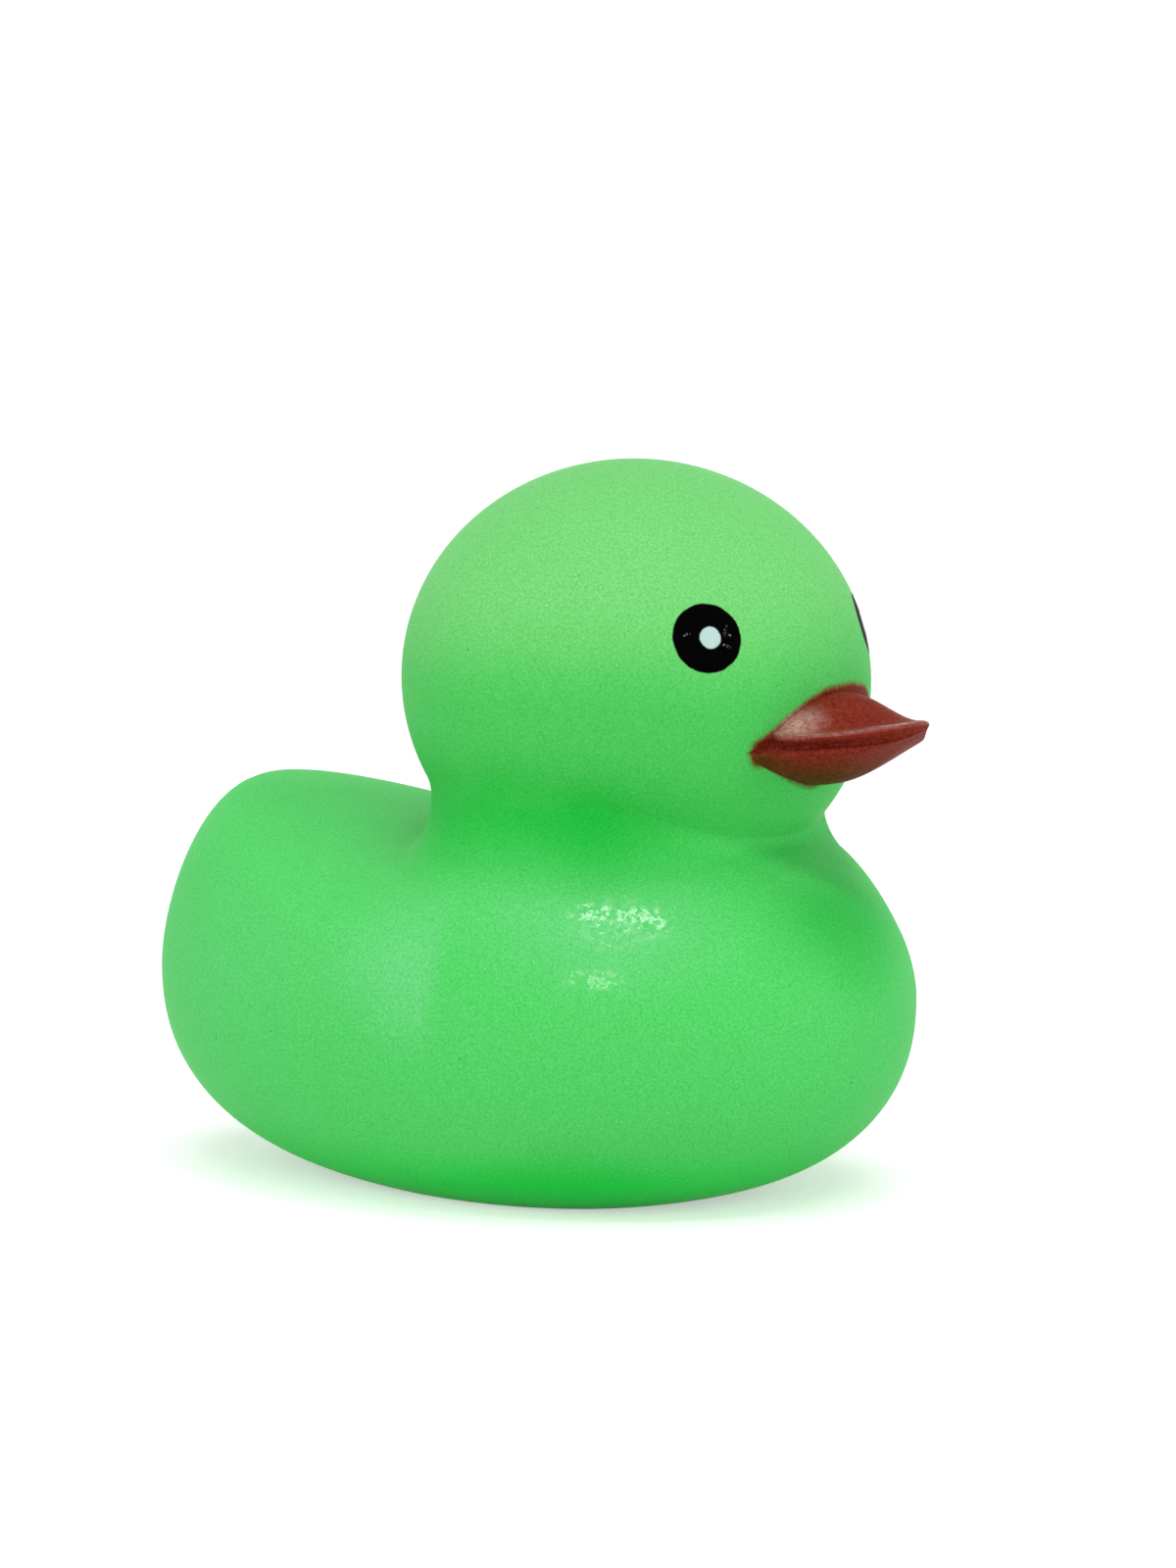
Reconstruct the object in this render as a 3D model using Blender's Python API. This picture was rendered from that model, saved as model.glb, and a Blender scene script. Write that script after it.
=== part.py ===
"""Rubber duck: a hollow moulded vinyl body with a press-in squeaker in its flat base.

The duck faces +X and stands on Z = 0. Its left and right halves mirror each other across Y = 0.
Three profile curves (breast, back and side) shape the skin, and every ring of the skin runs
through all three. The same rings, moved inwards by the wall, make the hollow.
"""

import math

import bpy
import numpy as np

MM = 0.001

# Head: an ellipsoid of round plan, nodding forwards a little
HEAD_X = 7.1 * MM
HEAD_Z = 35.9 * MM
HEAD_RADIUS = 16.4 * MM
HEAD_HALF_HEIGHT = 15.3 * MM
HEAD_NOD = math.radians(5.0)
NECK_BELOW_EQUATOR = math.radians(40.5)

# Body: how far the breast, the back and the sides reach from the middle, and how high that is
BREAST_REACH = 26.8 * MM
BREAST_HEIGHT = 14.0 * MM
RUMP_REACH = 32.1 * MM
RUMP_HEIGHT = 14.4 * MM
SIDE_REACH = 21.0 * MM
SIDE_HEIGHT = 13.3 * MM

# Body: where each profile would level out above, and the dip between the tail and the neck
BREAST_TOP = (10.8 * MM, 27.9 * MM)
TAIL_TOP = (24.9 * MM, 27.6 * MM)
SHOULDER_TOP = (6.0 * MM, 27.3 * MM)
BACK_DIP_Z = 25.0 * MM

# Body: where each profile meets the ground line, and the slice taken off for the flat base
BELLY_FRONT = 5.1 * MM
BELLY_REAR = 8.6 * MM
BELLY_SIDE = 6.8 * MM
BASE_SLICE = 0.6 * MM
BASE_RING_SHARE = 0.93

# Fullness: 2 is an ellipse, more is squarer, less is flatter
BREAST_FULLNESS = (2.36, 1.84)
RUMP_FULLNESS = (2.41, 1.62)
SIDE_FULLNESS = (2.04, 2.1)
PLAN_TAPER = 0.043

# Neck: the reach of the soft fillet between body and head
NECK_FILLET_FRONT = 1.3 * MM
NECK_FILLET_REAR = 1.2 * MM
NECK_FILLET_SIDE = 5.5 * MM

# Bill: a deck that rises to the forehead, a rounded rim, a hollow under it and a full hull below.
# It starts at the corners of the mouth, a little behind the front of the head.
BILL_CORNER_SETBACK = 2.2 * MM
BILL_LENGTH = 9.9 * MM
BILL_HALF_WIDTH = 6.7 * MM
BILL_PLAN_FULLNESS = 0.89
RIM_OVERHANG = 0.22 * MM
RIM_RADIUS = 0.3 * MM
MOUTH_UNDERCUT = 0.55 * MM
LIP_DROP = 0.4 * MM
HULL_DEPTH = 2.45 * MM
LOWER_BILL_NARROWING = 0.6

# Bill heights, measured down from the middle of the head
RIM_DROP = (2.56 * MM, 1.59 * MM)
MOUTH_DROP = (3.73 * MM, 2.91 * MM)
TIP_DROP = 1.98 * MM
CROWN_DROPS = (0.17 * MM, -0.72 * MM, 2.78 * MM, 1.25 * MM)

# Bill: where along it the deck leaves the forehead, and where the rounding of the tip starts
FOREHEAD_SHARE = 0.228
TIP_ROUND_FROM = (0.865, 0.7)

# Shell
WALL = 1.6 * MM
BASE_WALL = 2.2 * MM

# Squeaker and its seat in the base
CLEARANCE = 0.3 * MM
TUBE_RADIUS = 4.3 * MM
TUBE_WALL = 0.8 * MM
TUBE_TOP_Z = 9.6 * MM
FLANGE_RADIUS = 5.6 * MM
FLANGE_UNDERSIDE_Z = 0.3 * MM
FLANGE_THICKNESS = 0.6 * MM
BARB_RADIUS = 5.0 * MM
BARB_HEIGHT = 1.6 * MM
AIR_HOLE_RADIUS = 0.8 * MM
HOLDER_LENGTH = 5.2 * MM
TROUGH_RADIUS = 1.6 * MM
REED_THICKNESS = 0.2 * MM
REED_WIDTH = 4.0 * MM

# Resolution
BELLY_RINGS = 11
FLANK_RINGS = 13
NECK_RINGS = 7
HEAD_RINGS = 18
RING_POINTS = 60
BILL_RINGS = 22
DECK_POINTS = 9
RIM_POINTS = 4
HULL_POINTS = 8
TUBE_POINTS = 40


def material(name, colour, roughness):
    mat = bpy.data.materials.new(name)
    mat.use_nodes = True
    shader = mat.node_tree.nodes["Principled BSDF"]
    shader.inputs["Base Color"].default_value = (*colour, 1.0)
    shader.inputs["Roughness"].default_value = roughness
    shader.inputs["Metallic"].default_value = 0.0
    return mat


def mesh_object(name, points, faces, mat):
    mesh = bpy.data.meshes.new(name)
    mesh.from_pydata([tuple(p) for p in points], [], faces)
    mesh.shade_smooth()
    mesh.materials.append(mat)
    obj = bpy.data.objects.new(name, mesh)
    bpy.context.scene.collection.objects.link(obj)
    return obj


def as_cutter(obj):
    obj.hide_render = True
    obj.display_type = "WIRE"
    return obj


def add_boolean(obj, other, operation):
    mod = obj.modifiers.new(other.name, "BOOLEAN")
    mod.operation = operation
    mod.solver = "EXACT"
    mod.object = other
    mod.material_mode = "TRANSFER"


def head_point(angle, side):
    """(outward, up) of the head's outline at an angle above its equator, seen from one side."""
    rise = HEAD_HALF_HEIGHT * np.sin(angle)
    reach = HEAD_RADIUS * np.cos(angle)
    if side == "side":
        return np.stack([reach, HEAD_Z + rise * math.cos(HEAD_NOD)], axis=-1)
    sign = 1.0 if side == "front" else -1.0
    x = sign * reach * math.cos(HEAD_NOD) + rise * math.sin(HEAD_NOD)
    z = -sign * reach * math.sin(HEAD_NOD) + rise * math.cos(HEAD_NOD)
    return np.stack([sign * (HEAD_X + x), HEAD_Z + z], axis=-1)


def smooth_link(start, start_way, end, end_way, count):
    """A cubic from start to end that leaves and arrives along the two unit directions."""
    pull = np.linalg.norm(end - start)
    t = np.linspace(0.0, 1.0, count)[:, None]
    return (
        (2 * t**3 - 3 * t**2 + 1) * start
        + (t**3 - 2 * t**2 + t) * start_way * pull
        + (3 * t**2 - 2 * t**3) * end
        + (t**3 - t**2) * end_way * pull
    )


def spread_evenly(curve, count):
    steps = np.linalg.norm(np.diff(curve, axis=0), axis=1)
    length = np.concatenate([[0.0], np.cumsum(steps)])
    at = np.linspace(0.0, length[-1], count)
    return np.stack([np.interp(at, length, curve[:, k]) for k in (0, 1)], axis=1)


def belly_curve(ground, reach, height, fullness):
    """From the edge of the flat base out to the widest point, cut where the base is sliced off."""
    full_height = height + BASE_SLICE
    start = math.acos((1 - BASE_SLICE / full_height) ** (fullness / 2))
    t = np.linspace(start, math.pi / 2, BELLY_RINGS)
    out = ground + (reach - ground) * np.sin(t) ** (2 / fullness)
    up = -BASE_SLICE + full_height * (1 - np.cos(t) ** (2 / fullness))
    up[0] = 0.0
    return np.stack([out, up], axis=1)


def shoulder_curve(reach, height, top, fullness):
    """From the widest point up and in to where the profile levels out."""
    t = np.linspace(0.0, math.pi / 2, 60)
    out = reach + (top[0] - reach) * (1 - np.cos(t) ** (2 / fullness))
    up = height + (top[1] - height) * np.sin(t) ** (2 / fullness)
    return np.stack([out, up], axis=1)


def cut_at(curve, outward):
    """The curve up to the point where it has come in to this distance."""
    inside = int(np.argmax(curve[:, 0] < outward))
    a = curve[inside - 1]
    b = curve[inside]
    share = (a[0] - outward) / (a[0] - b[0])
    return np.concatenate([curve[:inside], [a + share * (b - a)]])


def profile(side, ground, reach, height, top, fullness, fillet):
    """One profile curve as (outward, up) points, from the base edge to the crown of the head."""
    belly = belly_curve(ground, reach, height, fullness[0])
    shoulder = shoulder_curve(reach, height, top, fullness[1])
    neck = head_point(-NECK_BELOW_EQUATOR, side)
    if side == "rear":
        level = np.array([-1.0, 0.0])
        foot = np.array([neck[0] + fillet, BACK_DIP_Z])
        shoulder = np.concatenate([shoulder, smooth_link(shoulder[-1], level, foot, level, 20)[1:]])
    else:
        shoulder = cut_at(shoulder, neck[0] + fillet)
    flank = spread_evenly(shoulder, FLANK_RINGS)
    flank_way = shoulder[-1] - shoulder[-2]
    flank_way = flank_way / np.linalg.norm(flank_way)
    head_start = -NECK_BELOW_EQUATOR + fillet / HEAD_RADIUS
    head_foot = head_point(head_start, side)
    head_way = head_point(head_start + 0.001, side) - head_foot
    head_way = head_way / np.linalg.norm(head_way)
    link = smooth_link(flank[-1], flank_way, head_foot, head_way, NECK_RINGS)
    head = head_point(np.linspace(head_start, math.pi / 2, HEAD_RINGS), side)
    return np.concatenate([belly, flank[1:], link[1:], head[1:]])


def three_profiles():
    front = profile(
        "front", BELLY_FRONT, BREAST_REACH, BREAST_HEIGHT, BREAST_TOP, BREAST_FULLNESS, NECK_FILLET_FRONT
    )
    rear = profile(
        "rear", BELLY_REAR, RUMP_REACH, RUMP_HEIGHT, TAIL_TOP, RUMP_FULLNESS, NECK_FILLET_REAR
    )
    side = profile(
        "side", BELLY_SIDE, SIDE_REACH, SIDE_HEIGHT, SHOULDER_TOP, SIDE_FULLNESS, NECK_FILLET_SIDE
    )
    return front, rear, side


def side_stations(side):
    """The X of the side profile: under the middle of the body, then sliding to the head's centre."""
    rings = len(side)
    head_first = rings - HEAD_RINGS
    widest = BELLY_RINGS - 1
    at = np.arange(rings)
    slide = np.clip((at - widest) / (head_first - widest), 0.0, 1.0)
    slide = slide * slide * (3 - 2 * slide)
    head_x = HEAD_X + (side[:, 1] - HEAD_Z) * math.tan(HEAD_NOD)
    return np.where(at >= head_first, head_x, slide * head_x[head_first])


def rings_through(front, rear, side, stations, points):
    """Closed rings, one for each step of the profiles, as an array of rings by points by XYZ."""
    turn = np.linspace(0.0, 2 * math.pi, points, endpoint=False)
    cos = np.cos(turn)
    front_x = front[:, :1]
    rear_x = -rear[:, :1]
    front_z = front[:, 1:]
    rear_z = rear[:, 1:]
    side_x = stations[:, None]
    side_z = side[:, 1:]
    taper = np.clip(1 - np.arange(len(side)) / (BELLY_RINGS + FLANK_RINGS), 0.0, 1.0)[:, None]
    x = side_x + (front_x - rear_x) / 2 * cos + ((front_x + rear_x) / 2 - side_x) * cos**2
    z = side_z + (front_z - rear_z) / 2 * cos + ((front_z + rear_z) / 2 - side_z) * cos**2
    y = side[:, :1] * np.sin(turn) * (1 + PLAN_TAPER * taper * cos)
    return np.stack([x, y, z], axis=-1)


def skin_faces(rings, points):
    """Quads between the rings, one face for the base, and triangles round the crown point."""
    faces = [list(range(points))[::-1]]
    for ring in range(rings - 2):
        for k in range(points):
            a = ring * points + k
            b = ring * points + (k + 1) % points
            faces.append([a, b, b + points, a + points])
    last = (rings - 2) * points
    for k in range(points):
        faces.append([last + k, last + (k + 1) % points, last + points])
    return faces


def with_base_ring(rings):
    """One more ring inside the edge of the flat base, so that its shading stays flat."""
    edge = rings[0]
    middle = edge.mean(axis=0)
    return np.concatenate([[middle + (edge - middle) * BASE_RING_SHARE], rings])


def closed_skin(name, rings, mat):
    count = rings.shape[1]
    points = np.concatenate([rings[:-1].reshape(-1, 3), rings[-1, :1]])
    return mesh_object(name, points, skin_faces(len(rings), count), mat)


def moved_in(curve, distance, floor):
    """The profile moved inwards along its normals, starting on the inner floor."""
    way = np.gradient(curve, axis=0)
    way = way / np.linalg.norm(way, axis=1, keepdims=True)
    inner = curve + distance * np.stack([-way[:, 1], way[:, 0]], axis=1)
    inner[:, 1] = np.maximum(inner[:, 1], floor)
    return inner


def hollow(front, rear, side, mat):
    """The air inside the skin: the same profiles, one wall further in, with fewer points."""
    keep = np.concatenate([np.arange(1, len(side) - 1, 2), [len(side) - 1]])
    inner = [moved_in(curve, WALL, BASE_WALL)[keep] for curve in (front, rear, side)]
    crown = HEAD_HALF_HEIGHT - WALL
    crown_x = HEAD_X + crown * math.sin(HEAD_NOD)
    crown_z = HEAD_Z + crown * math.cos(HEAD_NOD)
    inner[0][-1] = (crown_x, crown_z)
    inner[1][-1] = (-crown_x, crown_z)
    inner[2][-1] = (0.0, crown_z)
    stations = side_stations(side)[keep]
    stations[-1] = crown_x
    rings = rings_through(*inner, stations, RING_POINTS // 2)
    return as_cutter(closed_skin("hollow_cutter", rings, mat))


def crown_height(along):
    """The middle line of the deck: a Bezier curve that starts where the deck leaves the forehead."""
    t = min(max((along - FOREHEAD_SHARE) / (1 - FOREHEAD_SHARE), 0.0), 1.0)
    a, b, c, d = CROWN_DROPS
    return HEAD_Z - (a * (1 - t) ** 3 + 3 * b * (1 - t) ** 2 * t + 3 * c * (1 - t) * t**2 + d * t**3)


def deck_points(reach, rim, crown, radius, fullness):
    points = []
    for t in np.linspace(0.0, 1.0, DECK_POINTS):
        s = t * (1 - radius / max(reach, 0.05 * MM))
        points.append((reach * s, rim + (crown - rim) * (1 - s * s) ** fullness))
    return points


def rim_points(reach, top, radius):
    """The rounded rim, from its top round to the hollow under it."""
    points = []
    for t in np.linspace(0.0, 1.0, RIM_POINTS)[1:]:
        angle = math.radians(90 - 140 * t)
        points.append((reach - radius + radius * math.cos(angle), top - radius + radius * math.sin(angle)))
    return points


def hull_points(half, lip, keel):
    points = []
    for t in np.linspace(0.0, 1.0, HULL_POINTS):
        angle = t * math.pi / 2
        points.append((half * math.cos(angle) ** 1.5, lip - (lip - keel) * math.sin(angle) ** 1.5))
    return points


def round_off(along, start):
    return math.sqrt(max(0.0, 1 - (max(along - start, 0.0) / (1 - start)) ** 2))


def bill_section(along):
    """One closed outline of the bill at a share of its length, as (Y, Z) points."""
    ahead = max(along, 0.0)
    half = BILL_HALF_WIDTH * max(0.0, 1 - along**2) ** BILL_PLAN_FULLNESS
    slimness = min(1.0, half / (0.4 * BILL_HALF_WIDTH))
    reach = half * (1 - 0.51 * math.exp(-ahead / 0.11)) + RIM_OVERHANG * slimness
    radius = min(RIM_RADIUS, 0.4 * half + 0.01 * MM)
    rim = HEAD_Z - RIM_DROP[0] + (RIM_DROP[0] - RIM_DROP[1]) * along**2
    mouth = HEAD_Z - MOUTH_DROP[0] + (MOUTH_DROP[0] - MOUTH_DROP[1]) * along + LIP_DROP * ahead**14
    lip = mouth - LIP_DROP * (1 - along**4)
    keel = lip - HULL_DEPTH * (1 - ahead**3.45) ** 3.46
    deck = deck_points(reach, rim, crown_height(along), radius, 1.04 + 1.82 * ahead)
    edge = rim_points(reach, deck[-1][1], radius)
    lower_half = half * (1 - LOWER_BILL_NARROWING * ahead**9)
    undercut = MOUTH_UNDERCUT * slimness * (1 - along**6) * (1 - math.exp(-ahead / 0.1))
    groove = (lower_half - undercut, mouth)
    waist = ((edge[-1][0] + groove[0]) / 2 - undercut / 2, (edge[-1][1] + groove[1]) / 2)
    right = deck + edge + [waist, groove] + hull_points(lower_half, lip, keel)
    left = [(-y, z) for y, z in right[-2:0:-1]]
    tip = HEAD_Z - TIP_DROP
    shares = [round_off(along, start) for start in TIP_ROUND_FROM]
    return [(y, tip + (z - tip) * shares[0 if z > tip else 1]) for y, z in right + left]


def bill(mat):
    """The bill as a loft of sections from inside the head's wall to a last point at the tip."""
    root = HEAD_X + HEAD_RADIUS - BILL_CORNER_SETBACK
    turns = np.linspace(2.0, 86.0, BILL_RINGS - 2)
    alongs = [-0.8, 0.0] + [math.sin(math.radians(a)) for a in turns]
    rings = [[(root + BILL_LENGTH * a, y, z) for y, z in bill_section(a)] for a in alongs]
    count = len(rings[0])
    faces = [list(range(count))]
    for r in range(len(rings) - 1):
        for k in range(count):
            a = r * count + k
            b = r * count + (k + 1) % count
            faces.append([a, a + count, b + count, b])
    last = (len(rings) - 1) * count
    for k in range(count):
        faces.append([last + (k + 1) % count, last + k, last + count])
    points = np.array(rings).reshape(-1, 3)
    points = np.concatenate([points, [(root + BILL_LENGTH, 0.0, HEAD_Z - TIP_DROP)]])
    return as_cutter(mesh_object("bill", points, faces, mat))


def revolved(name, outline, mat):
    """A closed outline of (radius, height) points turned round the vertical axis of the squeaker."""
    points = []
    for k in range(TUBE_POINTS):
        turn = 2 * math.pi * k / TUBE_POINTS
        for radius, z in outline:
            points.append((radius * math.cos(turn), radius * math.sin(turn), z))
    count = len(outline)
    faces = []
    for k in range(TUBE_POINTS):
        a = k * count
        b = (k + 1) % TUBE_POINTS * count
        for j in range(count):
            n = (j + 1) % count
            faces.append([a + j, b + j, b + n, a + n])
    return mesh_object(name, points, faces, mat)


def cylinder(name, radius, low, high, mat):
    ring = [(radius * math.cos(2 * math.pi * k / TUBE_POINTS), radius * math.sin(2 * math.pi * k / TUBE_POINTS))
            for k in range(TUBE_POINTS)]
    points = [(x, y, low) for x, y in ring] + [(x, y, high) for x, y in ring]
    faces = [list(range(TUBE_POINTS))[::-1], list(range(TUBE_POINTS, 2 * TUBE_POINTS))]
    for k in range(TUBE_POINTS):
        n = (k + 1) % TUBE_POINTS
        faces.append([k, n, n + TUBE_POINTS, k + TUBE_POINTS])
    return mesh_object(name, points, faces, mat)


def duck_body(vinyl, paint):
    front, rear, side = three_profiles()
    rings = rings_through(front, rear, side, side_stations(side), RING_POINTS)
    body = closed_skin("duck_body", with_base_ring(rings), vinyl)
    add_boolean(body, bill(paint), "UNION")
    add_boolean(body, hollow(front, rear, side, vinyl), "DIFFERENCE")
    hole = cylinder("hole_cutter", TUBE_RADIUS + CLEARANCE, -MM, BASE_WALL + MM, vinyl)
    seat_depth = FLANGE_UNDERSIDE_Z + FLANGE_THICKNESS + CLEARANCE
    seat = cylinder("seat_cutter", FLANGE_RADIUS + CLEARANCE, -MM, seat_depth, vinyl)
    add_boolean(body, as_cutter(hole), "DIFFERENCE")
    add_boolean(body, as_cutter(seat), "DIFFERENCE")
    return body


def squeaker_housing(mat):
    """A flanged tube with a barb that snaps in behind the floor of the body."""
    bore = TUBE_RADIUS - TUBE_WALL
    flange_top = FLANGE_UNDERSIDE_Z + FLANGE_THICKNESS
    barb_low = BASE_WALL + CLEARANCE
    floor = FLANGE_UNDERSIDE_Z + TUBE_WALL
    outline = [
        (AIR_HOLE_RADIUS, FLANGE_UNDERSIDE_Z),
        (FLANGE_RADIUS, FLANGE_UNDERSIDE_Z),
        (FLANGE_RADIUS, flange_top),
        (TUBE_RADIUS, flange_top),
        (TUBE_RADIUS, barb_low),
        (BARB_RADIUS, barb_low),
        (TUBE_RADIUS, barb_low + BARB_HEIGHT),
        (TUBE_RADIUS, TUBE_TOP_Z),
        (bore, TUBE_TOP_Z),
        (bore, floor),
        (AIR_HOLE_RADIUS, floor),
    ]
    return revolved("squeaker_housing", outline, mat)


def half_round(name, radius, low, high, flat_y, mat):
    """A half cylinder whose flat face is at Y = flat_y and whose round side faces -Y."""
    reach = math.sqrt(radius**2 - flat_y**2)
    start = math.atan2(flat_y, -reach)
    start = start + 2 * math.pi if start < 0 else start
    end = 2 * math.pi + math.atan2(flat_y, reach)
    steps = TUBE_POINTS // 2
    arc = [start + (end - start) * k / steps for k in range(steps + 1)]
    ring = [(radius * math.cos(a), radius * math.sin(a)) for a in arc]
    count = len(ring)
    points = [(x, y, low) for x, y in ring] + [(x, y, high) for x, y in ring]
    faces = [list(range(count))[::-1], list(range(count, 2 * count))]
    for k in range(count):
        n = (k + 1) % count
        faces.append([k, n, n + count, k + count])
    return mesh_object(name, points, faces, mat)


def squeaker_reed_holder(mat):
    """A half cylinder in the top of the tube, with a trough that the reed beats against."""
    radius = TUBE_RADIUS - TUBE_WALL - CLEARANCE
    low = TUBE_TOP_Z - HOLDER_LENGTH
    flat_y = -(REED_THICKNESS / 2 + CLEARANCE)
    holder = half_round("squeaker_reed_holder", radius, low, TUBE_TOP_Z, flat_y, mat)
    trough = cylinder("trough_cutter", TROUGH_RADIUS, low - MM, TUBE_TOP_Z - MM, mat)
    trough.location.y = flat_y
    add_boolean(holder, as_cutter(trough), "DIFFERENCE")
    return holder


def squeaker_reed(mat):
    """The thin strip that lies along the flat face of its holder."""
    half = (REED_WIDTH / 2, REED_THICKNESS / 2)
    low = TUBE_TOP_Z - HOLDER_LENGTH
    corners = [(-half[0], -half[1]), (half[0], -half[1]), (half[0], half[1]), (-half[0], half[1])]
    points = [(x, y, low) for x, y in corners] + [(x, y, TUBE_TOP_Z) for x, y in corners]
    faces = [[3, 2, 1, 0], [4, 5, 6, 7], [0, 1, 5, 4], [1, 2, 6, 5], [2, 3, 7, 6], [3, 0, 4, 7]]
    return mesh_object("squeaker_reed", points, faces, mat)


for old in list(bpy.data.objects):
    bpy.data.objects.remove(old, do_unlink=True)

green_vinyl = material("green_vinyl", (0.10, 0.63, 0.15), 0.45)
bill_paint = material("bill_paint", (0.22, 0.03, 0.02), 0.4)
white_plastic = material("white_plastic", (0.85, 0.85, 0.82), 0.35)
holder_plastic = material("holder_plastic", (0.80, 0.80, 0.78), 0.4)
reed_film = material("reed_film", (0.75, 0.78, 0.80), 0.25)

duck_body(green_vinyl, bill_paint)
squeaker_housing(white_plastic)
squeaker_reed_holder(holder_plastic)
squeaker_reed(reed_film)
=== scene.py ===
# %% [markdown]
# # A green rubber duck
# The real thing is a small bath duck, moulded in one piece from soft vinyl. Its bill is sprayed red-brown
# through a mask, its eyes are printed, and a squeaker is pressed into its flat base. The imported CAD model
# is the frame: it gives the size, and this lesson builds the fine skin and its finishes around it.

import math

import bpy
import numpy as np
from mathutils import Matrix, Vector


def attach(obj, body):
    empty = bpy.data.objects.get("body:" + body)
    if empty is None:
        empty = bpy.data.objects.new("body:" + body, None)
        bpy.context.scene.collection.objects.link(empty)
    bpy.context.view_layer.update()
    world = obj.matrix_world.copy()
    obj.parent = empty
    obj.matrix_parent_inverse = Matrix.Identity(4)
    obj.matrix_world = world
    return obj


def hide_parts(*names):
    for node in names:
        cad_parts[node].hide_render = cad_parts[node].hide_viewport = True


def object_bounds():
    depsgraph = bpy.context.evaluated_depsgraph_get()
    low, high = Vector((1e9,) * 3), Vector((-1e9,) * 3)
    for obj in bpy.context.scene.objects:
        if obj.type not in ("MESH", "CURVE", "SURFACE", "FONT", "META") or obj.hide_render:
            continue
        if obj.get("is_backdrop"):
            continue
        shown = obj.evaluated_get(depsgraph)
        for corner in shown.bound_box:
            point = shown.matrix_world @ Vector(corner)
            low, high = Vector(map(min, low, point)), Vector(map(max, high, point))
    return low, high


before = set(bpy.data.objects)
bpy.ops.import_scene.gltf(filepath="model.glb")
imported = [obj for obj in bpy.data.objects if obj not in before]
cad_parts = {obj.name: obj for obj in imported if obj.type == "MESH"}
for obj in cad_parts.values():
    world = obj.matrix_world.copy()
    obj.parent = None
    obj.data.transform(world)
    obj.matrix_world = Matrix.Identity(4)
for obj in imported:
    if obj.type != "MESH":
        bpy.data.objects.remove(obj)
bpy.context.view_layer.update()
MM = 0.001
print("nodes", sorted(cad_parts))

# %% [markdown]
# ## The camera
# The photo looks at the duck from its right side, turned 36 degrees towards its front, and from 6 degrees
# above. A long lens far away keeps the perspective as flat as it is there. The camera comes first.

# %% Camera
VIEW_TURN = math.radians(36.0)
VIEW_RISE = math.radians(6.0)
VIEW_DISTANCE = 400.0
PIXELS_PER_RADIAN = 5814.0
FRAME_HEIGHT_PIXELS = 1600
# The middle of the picture, measured along the picture from the spot on the floor under the head
UNDER_HEAD = Vector((7.1, 0.0, 0.0))
LOOK_RIGHT, LOOK_UP = -3.342, 28.389


def aim(turn, rise, distance, target):
    """Place and rotation of a camera that looks at target, both in mm."""
    back = Vector((math.sin(turn) * math.cos(rise), -math.cos(turn) * math.cos(rise), math.sin(rise)))
    return target + back * distance, (-back).to_track_quat("-Z", "Y")


right = Vector((math.cos(VIEW_TURN), math.sin(VIEW_TURN), 0.0))
tilt = math.sin(VIEW_RISE)
up = Vector((-tilt * math.sin(VIEW_TURN), tilt * math.cos(VIEW_TURN), math.cos(VIEW_RISE)))
look_at = UNDER_HEAD + LOOK_RIGHT * right + LOOK_UP * up
camera_data = bpy.data.cameras.new("camera")
camera_data.sensor_width = 36.0
camera_data.lens = camera_data.sensor_width * PIXELS_PER_RADIAN / FRAME_HEIGHT_PIXELS
camera_data.clip_start = 0.01
camera_data.clip_end = 10.0
camera = bpy.data.objects.new("camera", camera_data)
bpy.context.scene.collection.objects.link(camera)
place, turned = aim(VIEW_TURN, VIEW_RISE, VIEW_DISTANCE, look_at)
camera.location = place * MM
camera.rotation_mode = "QUATERNION"
camera.rotation_quaternion = turned
bpy.context.scene.camera = camera
print("lens", round(camera_data.lens, 1), "camera at mm", [round(v, 1) for v in place])

# %% [markdown]
# ## The shape of the skin
# A duck has no straight edge, so neither boxes nor a lathe can make it. Three profile curves say enough:
# breast, back and side. Each is a run of simple arcs: a belly, a shoulder, a small fillet at the neck and
# the round head. Rings that run through all three profiles then make the skin. The sizes are those of the
# CAD model, in mm; only the number of rings is higher here.

# %% Sizes in mm
HEAD_X, HEAD_Z, HEAD_RADIUS, HEAD_HALF_HEIGHT = 7.1, 35.9, 16.4, 15.3
HEAD_NOD = math.radians(5.0)
NECK_BELOW_EQUATOR = math.radians(40.5)
BASE_SLICE = 0.6
PLAN_TAPER = 0.043
BACK_DIP_Z = 25.0
# side: (ground, reach, height, (top reach, top height), (belly, shoulder fullness), neck fillet)
SHAPES = {
    "front": (5.1, 26.8, 14.0, (10.8, 27.9), (2.36, 1.84), 1.3),
    "rear": (8.6, 32.1, 14.4, (24.9, 27.6), (2.41, 1.62), 1.2),
    "side": (6.8, 21.0, 13.3, (6.0, 27.3), (2.04, 2.1), 5.5),
}
BELLY_RINGS, FLANK_RINGS, NECK_RINGS, HEAD_RINGS = 30, 44, 14, 64
RING_POINTS = 200
WALL, BASE_WALL = 1.6, 2.2
HOLE_RADIUS, SEAT_RADIUS, SEAT_DEPTH = 4.6, 5.9, 1.2
print("rings", BELLY_RINGS + FLANK_RINGS + NECK_RINGS + HEAD_RINGS, "of", RING_POINTS, "points")

# %% Arcs of one profile


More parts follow.
